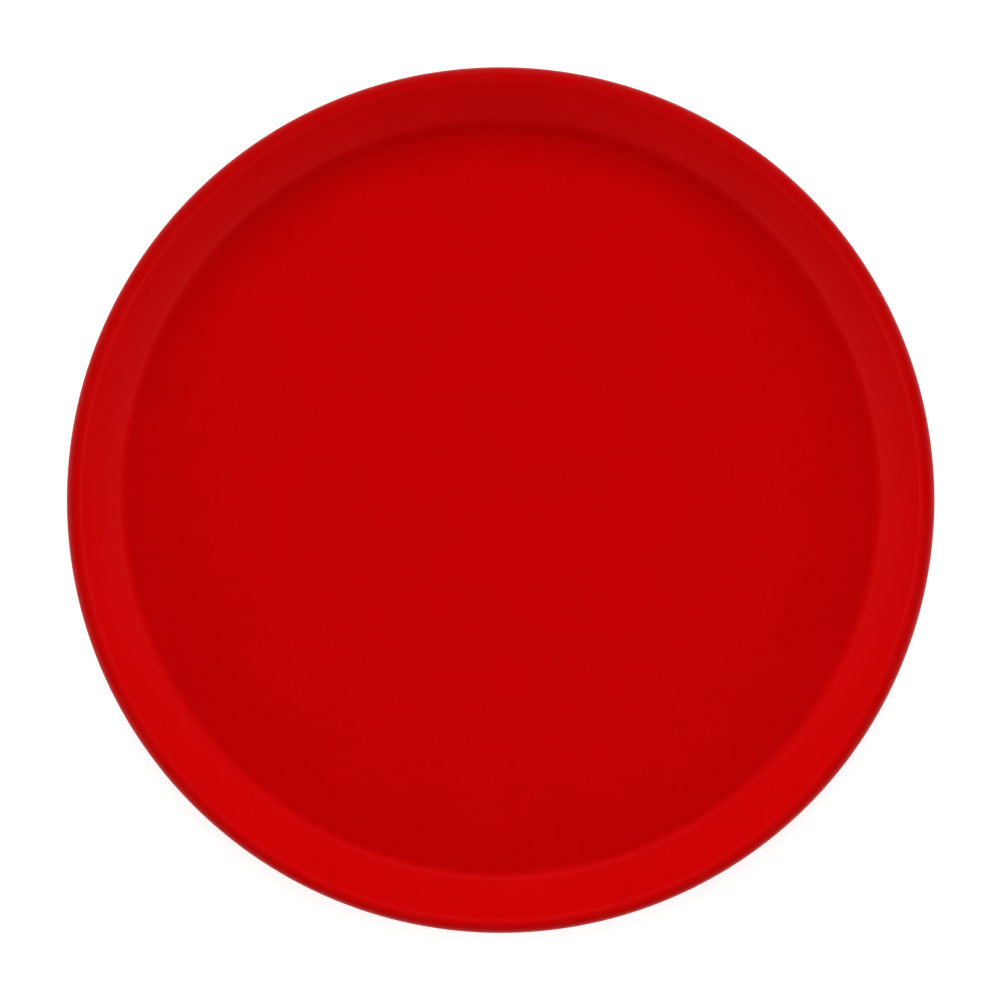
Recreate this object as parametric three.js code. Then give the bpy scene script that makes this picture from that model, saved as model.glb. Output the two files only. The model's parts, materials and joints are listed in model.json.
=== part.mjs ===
// A 14-inch round serving tray of glass-fibre laminate. The flat floor turns up into a flaring
// wall, and the wall's top edge is rolled outward round a steel stiffening rod.
// Millimetres, +Z up. The origin is the centre of the flat underside.
//
// Both pieces are bodies of revolution, so each is drawn as a section in the half plane
// (radius, height) and turned about the vertical axis.

import * as THREE from 'three';

// ---- Driving dimensions -------------------------------------------------------------------

const TRAY_DIAMETER = 355;        // over the rim, nominal 14 in
const TRAY_HEIGHT = 21;           // underside to the crest of the rim
const SHEET = 2.2;                // thickness of the laminate, the same everywhere
const ROD_DIAMETER = 2.4;         // 3/32 in steel rod
const ROD_CLEARANCE = 0.3;        // between the rod and the channel that it lies in
const FLOOR_FILLET = 6;           // inner radius of the turn from floor to wall
const WALL_FOOT_SLOPE = 45;       // degrees from level, where the wall leaves the floor fillet
const WALL_TOP_SLOPE = 56;        // degrees from level, where the wall runs into the rim
const SEAM = 0.6;                 // slit between the rolled edge and the wall's outer face

// ---- How finely the curves are divided ----------------------------------------------------

const TURNS_DIVIDED = 96;         // flats round the tray
const FILLET_STEPS = 3;
const WALL_STEPS = 3;
const CHANNEL_STEPS = 10;
const RIM_UNDERSIDE_STEPS = 8;    // from the cut edge, round underneath, to the widest point
const RIM_OUTSIDE_STEPS = 6;      // from the widest point up to the crest
const RIM_INSIDE_STEPS = 4;       // from the crest down to the wall's inner face
const ROD_STEPS = 12;

// ---- Derived dimensions -------------------------------------------------------------------

const channelRadius = ROD_DIAMETER / 2 + ROD_CLEARANCE;
const rimRadius = channelRadius + SHEET;
const rimCentre = new THREE.Vector2(TRAY_DIAMETER / 2 - rimRadius, TRAY_HEIGHT - rimRadius);

const footSlope = THREE.MathUtils.degToRad(WALL_FOOT_SLOPE);
const topSlope = THREE.MathUtils.degToRad(WALL_TOP_SLOPE);

// Unit vector square to a surface of the given slope, pointing up and towards the tray's axis.
function inwardNormal(slope) {
  return new THREE.Vector2(-Math.sin(slope), Math.cos(slope));
}

// The wall's inner face is one shallow arc. It leaves the rim's round at the top slope and ends
// on the floor fillet at the foot slope, and the drop between the two sets its radius.
const wallTop = rimCentre.clone().addScaledVector(inwardNormal(topSlope), rimRadius);
const filletRise = FLOOR_FILLET * (1 - Math.cos(footSlope));
const wallDrop = wallTop.y - SHEET - filletRise;
const wallRadius = wallDrop / (Math.cos(footSlope) - Math.cos(topSlope));
const wallCentre = wallTop.clone().addScaledVector(inwardNormal(topSlope), wallRadius);
const wallFoot = wallCentre.clone().addScaledVector(inwardNormal(footSlope), -wallRadius);
const filletCentre = wallFoot.clone().addScaledVector(inwardNormal(footSlope), FLOOR_FILLET);

// ---- Sections -----------------------------------------------------------------------------

// Points along an arc, both ends included. Angles in radians, counter-clockwise from outward.
function arc(centre, radius, from, to, steps) {
  const points = [];
  for (let i = 0; i <= steps; i += 1) {
    const angle = from + (to - from) * i / steps;
    points.push(new THREE.Vector2(
      centre.x + radius * Math.cos(angle),
      centre.y + radius * Math.sin(angle),
    ));
  }
  return points;
}

// An arc that bends upward, given by the slopes at its two ends.
function bowlArc(centre, radius, fromSlope, toSlope, steps) {
  const down = -Math.PI / 2;
  return arc(centre, radius, down + fromSlope, down + toSlope, steps);
}

// The shell's section, from the axis along the underside, up and round the rim, and back along
// the upper side to the axis.
function shellSection() {
  const wallSide = Math.PI / 2 + topSlope;
  // The rolled edge is cut off parallel to the wall, a seam's width away from it.
  const cutOffset = channelRadius - SEAM;
  const channelEnd = wallSide + Math.acos(cutOffset / channelRadius) - 2 * Math.PI;
  const rimStart = wallSide + Math.acos(cutOffset / rimRadius) - 2 * Math.PI;

  const underFillet = bowlArc(filletCentre, FLOOR_FILLET + SHEET, 0, footSlope, FILLET_STEPS);
  const underWall = bowlArc(wallCentre, wallRadius + SHEET, footSlope, topSlope, WALL_STEPS);
  const channel = arc(rimCentre, channelRadius, wallSide, channelEnd, CHANNEL_STEPS);
  const rimUnderside = arc(rimCentre, rimRadius, rimStart, 0, RIM_UNDERSIDE_STEPS);
  const rimOutside = arc(rimCentre, rimRadius, 0, Math.PI / 2, RIM_OUTSIDE_STEPS);
  const rimInside = arc(rimCentre, rimRadius, Math.PI / 2, wallSide, RIM_INSIDE_STEPS);
  const innerWall = bowlArc(wallCentre, wallRadius, topSlope, footSlope, WALL_STEPS);
  const innerFillet = bowlArc(filletCentre, FLOOR_FILLET, footSlope, 0, FILLET_STEPS);

  // Neighbouring arcs share an end point, so the second of each such pair drops its first.
  return [
    new THREE.Vector2(0, 0),
    ...underFillet,
    ...underWall.slice(1),
    ...channel.slice(1),
    ...rimUnderside,
    ...rimOutside.slice(1),
    ...rimInside.slice(1),
    ...innerWall.slice(1),
    ...innerFillet.slice(1),
    new THREE.Vector2(0, SHEET),
  ];
}

// The rod's round section, closed on itself, at the rim's distance from the axis.
function rodSection() {
  const centre = new THREE.Vector2(rimCentre.x, 0);
  return arc(centre, ROD_DIAMETER / 2, 0, 2 * Math.PI, ROD_STEPS);
}

// Turns a section about the vertical axis.
function turned(section) {
  const geometry = new THREE.LatheGeometry(section, TURNS_DIVIDED);
  geometry.rotateX(Math.PI / 2);
  return geometry;
}

// ---- Materials ----------------------------------------------------------------------------

const redLaminate = new THREE.MeshStandardMaterial({
  color: 0xbe0404,
  roughness: 0.45,
  metalness: 0,
});

const drawnSteel = new THREE.MeshStandardMaterial({
  color: 0xa7a9ab,
  roughness: 0.38,
  metalness: 1,
});

// ---- Assembly -----------------------------------------------------------------------------

const trayShell = new THREE.Mesh(turned(shellSection()), redLaminate);
trayShell.name = 'tray_shell';

const rimRod = new THREE.Mesh(turned(rodSection()), drawnSteel);
rimRod.name = 'rim_rod';
rimRod.position.z = rimCentre.y;

const tray = new THREE.Group();
tray.add(trayShell, rimRod);

export default tray;
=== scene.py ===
"""A round serving tray of red glass-fibre laminate with a steel rod rolled into its rim.

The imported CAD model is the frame. Both of its pieces are turned again here with finer curves,
and the rolled edge and the rod's weld are added. Metres, +Z up, origin at the centre of the
tray's flat underside.
"""

import json
import math

import bpy
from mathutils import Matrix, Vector


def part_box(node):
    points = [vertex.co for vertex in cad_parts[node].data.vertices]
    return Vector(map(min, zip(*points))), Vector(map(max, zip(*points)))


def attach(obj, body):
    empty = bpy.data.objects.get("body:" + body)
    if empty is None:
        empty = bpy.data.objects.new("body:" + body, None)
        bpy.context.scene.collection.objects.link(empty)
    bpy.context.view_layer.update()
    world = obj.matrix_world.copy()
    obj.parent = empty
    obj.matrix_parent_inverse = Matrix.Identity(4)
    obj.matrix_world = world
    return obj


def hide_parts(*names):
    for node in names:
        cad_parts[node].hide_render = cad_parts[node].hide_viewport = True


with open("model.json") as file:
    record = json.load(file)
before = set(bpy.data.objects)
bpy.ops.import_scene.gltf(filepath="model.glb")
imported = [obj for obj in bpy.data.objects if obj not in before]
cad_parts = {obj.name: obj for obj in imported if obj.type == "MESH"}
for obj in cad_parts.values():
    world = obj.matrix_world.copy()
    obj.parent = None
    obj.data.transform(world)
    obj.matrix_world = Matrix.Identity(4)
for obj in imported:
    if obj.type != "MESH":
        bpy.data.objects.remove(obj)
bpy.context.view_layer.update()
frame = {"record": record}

# ---- Sizes read from the frame -------------------------------------------------------------

MM = 0.001

shell_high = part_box("tray_shell")[1]
rod_low, rod_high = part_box("rim_rod")
mounts = {m["name"]: Vector(m["pos_m"]) for m in frame["record"]["mounts"]}

TRAY_RADIUS = shell_high.x
TRAY_HEIGHT = shell_high.z
SHEET = mounts["tray_floor"].z - mounts["underside_rest"].z
ROD_RADIUS = (rod_high.z - rod_low.z) / 2
RIM_CENTRE = (rod_high.x - ROD_RADIUS, (rod_low.z + rod_high.z) / 2)
RIM_RADIUS = TRAY_RADIUS - RIM_CENTRE[0]
CHANNEL_RADIUS = RIM_RADIUS - SHEET

# ---- Sizes of the section that the frame's boxes don't give ---------------------------------

FLOOR_FILLET = 6 * MM
WALL_FOOT_SLOPE = math.radians(45)
WALL_TOP_SLOPE = math.radians(56)
WALL_SIDE = math.pi / 2 + WALL_TOP_SLOPE    # from the rim's centre to the top of the wall
SEAM = 0.6 * MM                 # slit between the rolled edge and the wall
EDGE_ROUNDING = 0.35 * MM       # on the two corners of the rolled edge
WELD_BULGE = 0.12 * MM          # how far the rod's butt weld stands proud
WELD_LENGTH = 2.5 * MM

# ---- How finely the curves are divided ------------------------------------------------------

FULL_TURN = 2 * math.pi
ROUND_STEPS = 480               # flats round the tray
FLOOR_RINGS = (0.25, 0.5, 0.75, 0.92, 0.995)    # shares of the flat floor's radius
FILLET_STEPS = 10
WALL_STEPS = 10
CHANNEL_STEPS = 30
RIM_STEPS = 72
CORNER_STEPS = 6                # each corner of the rolled edge
ROD_STEPS = 24                  # flats round the rod's section
WELD_FLATS = 4                  # of the tray's flats, on each side of the weld, divided finer
WELD_DIVISIONS = 8              # of each of them


# ---- Sections -------------------------------------------------------------------------------

def at_angle(centre, radius, angle):
    return (centre[0] + radius * math.cos(angle), centre[1] + radius * math.sin(angle))


def arc(centre, radius, start, end, steps):
    """Points along an arc, both ends included. Angles in radians, counter-clockwise."""
    angles = [start + (end - start) * i / steps for i in range(steps + 1)]
    return [at_angle(centre, radius, angle) for angle in angles]


def along_normal(point, slope, distance):
    """The point that lies this far from another, square to a surface of that slope."""
    return (point[0] - math.sin(slope) * distance, point[1] + math.cos(slope) * distance)


def bowl_arc(centre, radius, start_slope, end_slope, steps):
    """An arc that bends upward, between two slopes of its surface."""
    down = -math.pi / 2
    return arc(centre, radius, down + start_slope, down + end_slope, steps)


def wall_arcs():
    """Centre and radius of the wall's inner face, and the centre of the floor fillet."""
    top = along_normal(RIM_CENTRE, WALL_TOP_SLOPE, RIM_RADIUS)
    drop = top[1] - SHEET - FLOOR_FILLET * (1 - math.cos(WALL_FOOT_SLOPE))
    radius = drop / (math.cos(WALL_FOOT_SLOPE) - math.cos(WALL_TOP_SLOPE))
    centre = along_normal(top, WALL_TOP_SLOPE, radius)
    foot = along_normal(centre, WALL_FOOT_SLOPE, -radius)
    return centre, radius, along_normal(foot, WALL_FOOT_SLOPE, FLOOR_FILLET)


def rolled_edge():
    """The cut edge of the rolled rim, from the channel out to the rim's underside, its two
    corners rounded. Also gives the angles at which the channel ends and the rim starts."""
    # The cut runs parallel to the wall. A corner's circle touches it and the round that it joins.
    corner_offset = CHANNEL_RADIUS - SEAM - EDGE_ROUNDING
    inner_reach = CHANNEL_RADIUS + EDGE_ROUNDING
    outer_reach = RIM_RADIUS - EDGE_ROUNDING
    inner_angle = WALL_SIDE + math.acos(corner_offset / inner_reach) - FULL_TURN
    outer_angle = WALL_SIDE + math.acos(corner_offset / outer_reach) - FULL_TURN
    inner_centre = at_angle(RIM_CENTRE, inner_reach, inner_angle)
    outer_centre = at_angle(RIM_CENTRE, outer_reach, outer_angle)

    inner_corner = arc(inner_centre, EDGE_ROUNDING, inner_angle + math.pi, WALL_SIDE, CORNER_STEPS)
    outer_corner = arc(
        outer_centre, EDGE_ROUNDING, WALL_SIDE - FULL_TURN, outer_angle, CORNER_STEPS)
    return inner_corner + outer_corner, inner_angle, outer_angle


def shell_section():
    """The shell's outline, from the axis along the underside, round the rim and back along the
    upper side to the axis."""
    wall_centre, wall_radius, fillet_centre = wall_arcs()
    edge, channel_end, rim_start = rolled_edge()
    rings = [fillet_centre[0] * share for share in FLOOR_RINGS]

    # Neighbouring arcs share an end point, so one of the two drops it.
    under = [(0, 0)] + [(ring, 0) for ring in rings]
    under += bowl_arc(fillet_centre, FLOOR_FILLET + SHEET, 0, WALL_FOOT_SLOPE, FILLET_STEPS)
    under += bowl_arc(
        wall_centre, wall_radius + SHEET, WALL_FOOT_SLOPE, WALL_TOP_SLOPE, WALL_STEPS)[1:]
    channel = arc(RIM_CENTRE, CHANNEL_RADIUS, WALL_SIDE, channel_end, CHANNEL_STEPS)[1:-1]
    rim = arc(RIM_CENTRE, RIM_RADIUS, rim_start, WALL_SIDE, RIM_STEPS)[1:]
    upper = bowl_arc(wall_centre, wall_radius, WALL_TOP_SLOPE, WALL_FOOT_SLOPE, WALL_STEPS)[1:]
    upper += bowl_arc(fillet_centre, FLOOR_FILLET, WALL_FOOT_SLOPE, 0, FILLET_STEPS)[1:]
    upper += [(ring, SHEET) for ring in reversed(rings)] + [(0, SHEET)]
    return under + channel + edge + rim + upper


# ---- Turning a section ----------------------------------------------------------------------

def turned(name, section_at, turns, closed):
    """A mesh made by turning a section about the vertical axis. The section may change with the
    turn, but keeps its number of points. An open section starts and ends on the axis; a closed
    one joins its last point to its first."""
    sections = [section_at(turn) for turn in turns]
    start = sections[0]
    rows = range(len(start)) if closed else range(1, len(start) - 1)
    vertices = []
    for row in rows:
        for turn, section in zip(turns, sections):
            radius, height = section[row]
            vertices.append((radius * math.cos(turn), radius * math.sin(turn), height))

    around = len(turns)
    faces = []
    bands = len(rows) if closed else len(rows) - 1
    for band in range(bands):
        this = band * around
        after = (band + 1) % len(rows) * around
        for step in range(around):
            beside = (step + 1) % around
            faces.append((this + step, this + beside, after + beside, after + step))
    if not closed:
        last_ring = (len(rows) - 1) * around
        bottom = len(vertices)
        top = bottom + 1
        vertices += [(0, 0, start[0][1]), (0, 0, start[-1][1])]
        for step in range(around):
            beside = (step + 1) % around
            faces.append((bottom, beside, step))
            faces.append((top, last_ring + step, last_ring + beside))

    mesh = bpy.data.meshes.new(name)
    mesh.from_pydata(vertices, [], faces)
    mesh.validate()
    mesh.shade_smooth()
    piece = bpy.data.objects.new(name, mesh)
    bpy.context.scene.collection.objects.link(piece)
    return piece


# ---- Node building --------------------------------------------------------------------------

class Nodes:
    """Builds one node tree, a node at a time. Inputs are given by name or by number, and each is
    either a constant or the output of another node."""

    def __init__(self, tree):
        self.tree = tree

    def add(self, kind, inputs, output=0, **settings):
        node = self.tree.nodes.new(kind)
        for setting, value in settings.items():
            setattr(node, setting, value)
        self.feed(node, inputs)
        return node.outputs[output]

    def feed(self, node, inputs):
        for key, value in inputs.items():
            if isinstance(value, bpy.types.NodeSocket):
                self.tree.links.new(value, node.inputs[key])
            else:
                node.inputs[key].default_value = value

    def math(self, operation, first, second=0.0):
        return self.add("ShaderNodeMath", {0: first, 1: second}, operation=operation)

    def ramp(self, value, low, high, to_low=0.0, to_high=1.0):
        """Goes smoothly from one value to another while the input goes from low to high."""
        ends = {0: value, 1: low, 2: high, 3: to_low, 4: to_high}
        return self.add("ShaderNodeMapRange", ends, interpolation_type="SMOOTHSTEP")

    def noise(self, place, grain, detail=2.0, roughness=0.5):
        """Cloudy noise from 0 to 1, whose patches are about this many metres across."""
        look = {"Vector": place, "Scale": 1 / grain, "Detail": detail, "Roughness": roughness}
        return self.add("ShaderNodeTexNoise", look)

    def mix(self, share, first, second):
        """A colour that goes from the first to the second as the share goes from 0 to 1."""
        return self.add("ShaderNodeMix", {0: share, 6: first, 7: second}, 2, data_type="RGBA")

    def bump(self, height, depth, over=None):
        """Relief of this depth in metres, laid over another relief if one is given."""
        relief = {"Height": height, "Distance": depth}
        if over is not None:
            relief["Normal"] = over
        return self.add("ShaderNodeBump", relief)

    def split(self, place):
        """The X, Y and Z of a place."""
        return self.add("ShaderNodeSeparateXYZ", {0: place}).node.outputs

    def from_axis(self, place):
        """How far a place is from the tray's vertical axis."""
        level = self.add("ShaderNodeVectorMath", {0: place, 1: (1, 1, 0)}, operation="MULTIPLY")
        return self.add("ShaderNodeVectorMath", {0: level}, "Value", operation="LENGTH")


def new_material(name):
    """An empty material, the builder of its nodes, its shader and its object coordinates."""
    material = bpy.data.materials.new(name)
    material.use_nodes = True
    nodes = Nodes(material.node_tree)
    place = nodes.add("ShaderNodeTexCoord", {}, "Object")
    return material, nodes, material.node_tree.nodes["Principled BSDF"], place


# ---- Laminate -------------------------------------------------------------------------------

RED_DEEP = (0.535, 0.0003, 0.0006, 1)
RED_LIGHT = (0.555, 0.0004, 0.0008, 1)
RED_WORN = (0.52, 0.0015, 0.0018, 1)
# Painted shade: a dark red that stands in for the shade on the rim's outer slope.
RED_PAINTED_SHADE = (0.2, 0.0003, 0.0003, 1)
RED_GLOSS = (1.0, 0.06, 0.06, 1)        # the tint of the gloss, seen face on
PAINTED_SHADE_SHARE = 0.5             # share of the painted shade at the rim's widest point
PAINTED_SHADE_WIDTH = 5.5 * MM        # over which the painted shade fades in

CLOUD_SIZE = 40 * MM
GLASS_MAT_SIZE = 5 * MM
WEAR_PATCH_SIZE = 11 * MM
GRAIN_SIZE = 0.45 * MM
GLASS_MAT_RELIEF = 0.012 * MM
GRAIN_RELIEF = 0.005 * MM

SCUFF_WIDTH = 0.32 * MM
SCUFF_STRETCH = 32              # length over width
SCUFF_HEADINGS = (25, -52)      # degrees from X
SCUFF_DEPTH = 0.003 * MM

CREST_DEPTH = 0.9 * MM          # how far the handled skin reaches down from the rim's top
WIDEST_DEPTH = 0.7 * MM         # and in from its widest part

SATIN = (0.37, 0.43)            # roughness, which follows the glass mat's print
HANDLED_DULLING = 0.10          # added to the roughness where the skin is worn
STOOD_ON_DULLING = 0.12
SCUFFED_DULLING = 0.16


def scuffs(nodes, place, heading):
    """Fine straight marks that run this many degrees from X."""
    stretch = {
        "Vector": place,
        "Rotation": (0, 0, math.radians(heading)),
        "Scale": (SCUFF_STRETCH, 1, 1),
    }
    along = nodes.add("ShaderNodeMapping", stretch, vector_type="TEXTURE")
    return nodes.ramp(nodes.noise(along, SCUFF_WIDTH, detail=1.0), 0.62, 0.74)


def laminate_wear(nodes, place, radius):
    """Three masks: the rim's crest and widest part, where the tray is handled; its underside,
    where it stands; and the scuffs on its floor."""
    height = nodes.split(place)["Z"]
    patches = nodes.noise(place, WEAR_PATCH_SIZE, detail=6.0, roughness=0.65)

    crest = nodes.ramp(height, TRAY_HEIGHT - CREST_DEPTH, TRAY_HEIGHT)
    widest = nodes.ramp(radius, TRAY_RADIUS - WIDEST_DEPTH, TRAY_RADIUS)
    touched = nodes.math("MAXIMUM", crest, widest)
    handled = nodes.math("MULTIPLY", touched, nodes.ramp(patches, 0.40, 0.62))

    underside = nodes.ramp(height, 0.6 * MM, 0.05 * MM)
    stood_on = nodes.math("MULTIPLY", underside, nodes.ramp(patches, 0.38, 0.66))

    marks = nodes.math("MAXIMUM", *(scuffs(nodes, place, heading) for heading in SCUFF_HEADINGS))
    on_floor = nodes.ramp(height, SHEET + 1.0 * MM, SHEET + 0.2 * MM)
    floor_marks = nodes.math("MULTIPLY", marks, on_floor)
    scuffed = nodes.math("MULTIPLY", floor_marks, nodes.ramp(patches, 0.35, 0.60))
    return handled, stood_on, scuffed


def red_laminate():
    """Moulded laminate, red right through, with a satin face: clouded pigment, the faint print
    of the glass mat, a fine grain, painted shade that darkens the outer slope of the rim, and
    duller skin where it is worn."""
    material, nodes, shader, place = new_material("moulded_red_laminate")
    radius = nodes.from_axis(place)
    clouds = nodes.noise(place, CLOUD_SIZE, detail=3.0)
    glass_mat = nodes.noise(place, GLASS_MAT_SIZE, detail=4.0, roughness=0.6)
    grain = nodes.noise(place, GRAIN_SIZE, detail=1.0)
    handled, stood_on, scuffed = laminate_wear(nodes, place, radius)

    pigment = nodes.math("ADD", nodes.math("MULTIPLY", clouds, 0.65),
                         nodes.math("MULTIPLY", glass_mat, 0.35))
    red = nodes.mix(nodes.ramp(pigment, 0.36, 0.64), RED_DEEP, RED_LIGHT)
    worn = nodes.math("MAXIMUM", nodes.math("MAXIMUM", handled, stood_on), scuffed)
    red = nodes.mix(worn, red, RED_WORN)
    # Painted shade: the rim's outer slope is darkened all round, more towards its widest point.
    painted_shade = nodes.ramp(radius, TRAY_RADIUS - PAINTED_SHADE_WIDTH, TRAY_RADIUS, 0.0, PAINTED_SHADE_SHARE)
    red = nodes.mix(painted_shade, red, RED_PAINTED_SHADE)

    satin = nodes.ramp(glass_mat, 0.3, 0.7, *SATIN)
    dullings = (
        (handled, HANDLED_DULLING),
        (stood_on, STOOD_ON_DULLING),
        (scuffed, SCUFFED_DULLING),
    )
    for wear, dulling in dullings:
        satin = nodes.math("ADD", satin, nodes.math("MULTIPLY", wear, dulling))

    relief = nodes.bump(glass_mat, GLASS_MAT_RELIEF)
    relief = nodes.bump(grain, GRAIN_RELIEF, over=relief)
    relief = nodes.bump(scuffed, -SCUFF_DEPTH, over=relief)
    nodes.feed(shader, {
        "Base Color": red,
        "Roughness": satin,
        "Normal": relief,
        "IOR": 1.2,
        "Specular IOR Level": 0.8,
        "Specular Tint": RED_GLOSS,
    })
    return material


# ---- Steel ----------------------------------------------------------------------------------

STEEL_BRIGHT = (0.56, 0.56, 0.57, 1)
STEEL_TARNISHED = (0.44, 0.43, 0.42, 1)
STEEL_STRAW = (0.42, 0.29, 0.14, 1)
STEEL_SCALE = (0.16, 0.16, 0.18, 1)

STEEL_ROUGHNESS = (0.26, 0.42)  # which follows the streaks
STREAK_WIDTH = 0.35 * MM
STREAK_SQUEEZE = 0.03           # of the pattern along the rod, which draws it out into streaks
STREAK_DEPTH = 0.004 * MM
TARNISH_SIZE = 8 * MM


def drawn_steel():
    """Plain drawn rod: bright, with fine streaks along its length and the straw and grey scale
    that its butt weld leaves."""
    material, nodes, shader, place = new_material("bright_drawn_rod")
    split = nodes.split(place)
    along = nodes.math("MULTIPLY", nodes.math("ARCTAN2", split["Y"], split["X"]), RIM_CENTRE[0])
    stretched = nodes.add("ShaderNodeCombineXYZ", {
        "X": nodes.math("MULTIPLY", along, STREAK_SQUEEZE),
        "Y": nodes.from_axis(place),
        "Z": split["Z"],
    })
    streaks = nodes.noise(stretched, STREAK_WIDTH, detail=3.0)
    tarnish = nodes.noise(place, TARNISH_SIZE, detail=4.0)
    from_weld = nodes.math("ABSOLUTE", along)
    heated = nodes.ramp(from_weld, 4 * WELD_LENGTH, 1.5 * WELD_LENGTH)
    scaled = nodes.ramp(from_weld, 1.5 * WELD_LENGTH, 0.8 * WELD_LENGTH)

    steel = nodes.mix(nodes.ramp(tarnish, 0.35, 0.7), STEEL_BRIGHT, STEEL_TARNISHED)
    steel = nodes.mix(heated, steel, STEEL_STRAW)
    nodes.feed(shader, {
        "Base Color": nodes.mix(scaled, steel, STEEL_SCALE),
        "Metallic": 1.0,
        "Roughness": nodes.ramp(streaks, 0.3, 0.7, *STEEL_ROUGHNESS),
        "Normal": nodes.bump(streaks, STREAK_DEPTH),
    })
    return material


# ---- Pieces ---------------------------------------------------------------------------------

def evenly(steps):
    return [FULL_TURN * step / steps for step in range(steps)]


def rod_section(turn):
    """The rod's round section, a little fatter at the butt weld that closes the ring."""
    from_weld = min(turn, FULL_TURN - turn) * RIM_CENTRE[0]
    bulge = WELD_BULGE * math.exp(-(from_weld / WELD_LENGTH) ** 2)
    return arc(RIM_CENTRE, ROD_RADIUS + bulge, 0, FULL_TURN, ROD_STEPS)[:-1]


def rod_turns():
    """Even turns, with closer ones between them next to the weld."""
    even = evenly(ROUND_STEPS)
    reach = even[WELD_FLATS]
    steps = WELD_FLATS * WELD_DIVISIONS
    after_weld = [reach * step / steps for step in range(steps)]
    before_weld = [FULL_TURN - turn for turn in reversed(after_weld[1:] + [reach])]
    return after_weld + even[WELD_FLATS:-WELD_FLATS] + before_weld


outline = shell_section()
shell = turned("shell_fine", lambda turn: outline, evenly(ROUND_STEPS), closed=False)
shell.data.materials.append(red_laminate())
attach(shell, "root")
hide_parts("tray_shell")

rod = turned("rod_fine", rod_section, rod_turns(), closed=True)
rod.data.materials.append(drawn_steel())
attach(rod, "root")
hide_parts("rim_rod")

# ---- Stage ----------------------------------------------------------------------------------

STAGE_REACH = 6.0               # from the tray to each side of the paper
STAGE_DROP = 0.05 * MM          # keeps the paper clear of the tray's underside


def white_paper():
    """Lit white paper, on which hardly any shadow is left."""
    paper = bpy.data.materials.new("pale_paper")
    paper.use_nodes = True
    Nodes(paper.node_tree).feed(paper.node_tree.nodes["Principled BSDF"], {
        "Base Color": (0.9, 0.9, 0.9, 1),
        "Roughness": 0.9,
        "Specular IOR Level": 0.0,
        "Emission Color": (1, 1, 1, 1),
        "Emission Strength": 0.55,
    })
    return paper


floor_mesh = bpy.data.meshes.new("stage_floor")
corners = [(x * STAGE_REACH, y * STAGE_REACH, 0) for x, y in ((-1, -1), (1, -1), (1, 1), (-1, 1))]
floor_mesh.from_pydata(corners, [], [(0, 1, 2, 3)])
floor_mesh.materials.append(white_paper())
stage = bpy.data.objects.new("stage_floor", floor_mesh)
bpy.context.scene.collection.objects.link(stage)
stage.location.z = -STAGE_DROP

# ---- Light ----------------------------------------------------------------------------------

# A lamp this wide goes all the way round, and is a little over half as strong at its far side.
ALL_ROUND = 400

# Each soft lamp is a patch of sky that fades to nothing at its edges. The same lamp stands on the
# left and on the right. Degrees: azimuth from the back, elevation, half width, half height. The
# last number is the strength at the lamp's middle.
LAMPS = (
    (0, 34, 60, 21, 6.9),           # main softbox, behind the tray
    (90, 22, 70, 24, 2.35),         # a softbox on each side
    (130, 12, 90, 16, 2.65),        # low strips round the front
    (180, 45, 60, 22, 0.5),         # a weak softbox above the front
    (0, 52, ALL_ROUND, 25, 0.61),   # a weak ring overhead
)


def fade(nodes, angle, middle, half):
    """Falls from 1 at the middle to 0 at half a lamp's width or height from it, in degrees."""
    away = nodes.math("ABSOLUTE", nodes.math("SUBTRACT", angle, math.radians(middle)))
    return nodes.ramp(away, math.radians(half), 0.0)


def soft_studio():
    """A sky that is black apart from the soft lamps."""
    world = bpy.data.worlds.new("soft_studio")
    world.use_nodes = True
    nodes = Nodes(world.node_tree)
    towards = nodes.split(nodes.add("ShaderNodeTexCoord", {}, "Generated"))
    sideways = nodes.math("ABSOLUTE", towards["X"])
    azimuth = nodes.math("ARCTAN2", sideways, towards["Y"])
    elevation = nodes.math("ARCSINE", towards["Z"])

    light = 0.0
    for lamp_azimuth, lamp_elevation, half_width, half_height, strength in LAMPS:
        patch = nodes.math("MULTIPLY", fade(nodes, azimuth, lamp_azimuth, half_width),
                           fade(nodes, elevation, lamp_elevation, half_height))
        light = nodes.math("ADD", light, nodes.math("MULTIPLY", patch, strength))
    nodes.feed(world.node_tree.nodes["Background"], {"Color": (1, 1, 1, 1), "Strength": light})
    return world


bpy.context.scene.world = soft_studio()
bpy.context.scene.view_settings.view_transform = "Standard"

# ---- Camera ---------------------------------------------------------------------------------

CAMERA_DISTANCE = 1.8               # from the middle of the rim
CAMERA_LEAN = math.radians(3.8)     # towards the back, from straight above
TRAY_SHARE_OF_FRAME = 0.8678
TRAY_TO_THE_RIGHT = 0.27 * MM       # of the middle of the frame

# The rim's back half is nearer the camera and looks larger, so the middle of its outline lies
# this far behind the tray's own.
outline_behind = TRAY_RADIUS ** 2 * math.sin(CAMERA_LEAN) / CAMERA_DISTANCE
aim = Vector((-TRAY_TO_THE_RIGHT, outline_behind, RIM_CENTRE[1]))
upward = Vector((0, math.sin(CAMERA_LEAN), math.cos(CAMERA_LEAN)))
frame_width = 2 * TRAY_RADIUS / TRAY_SHARE_OF_FRAME

camera = bpy.data.objects.new("camera", bpy.data.cameras.new("camera"))
bpy.context.scene.collection.objects.link(camera)
camera.rotation_euler.x = -CAMERA_LEAN
camera.location = aim + CAMERA_DISTANCE * upward
camera.data.lens = camera.data.sensor_width * CAMERA_DISTANCE / frame_width
bpy.context.scene.camera = camera
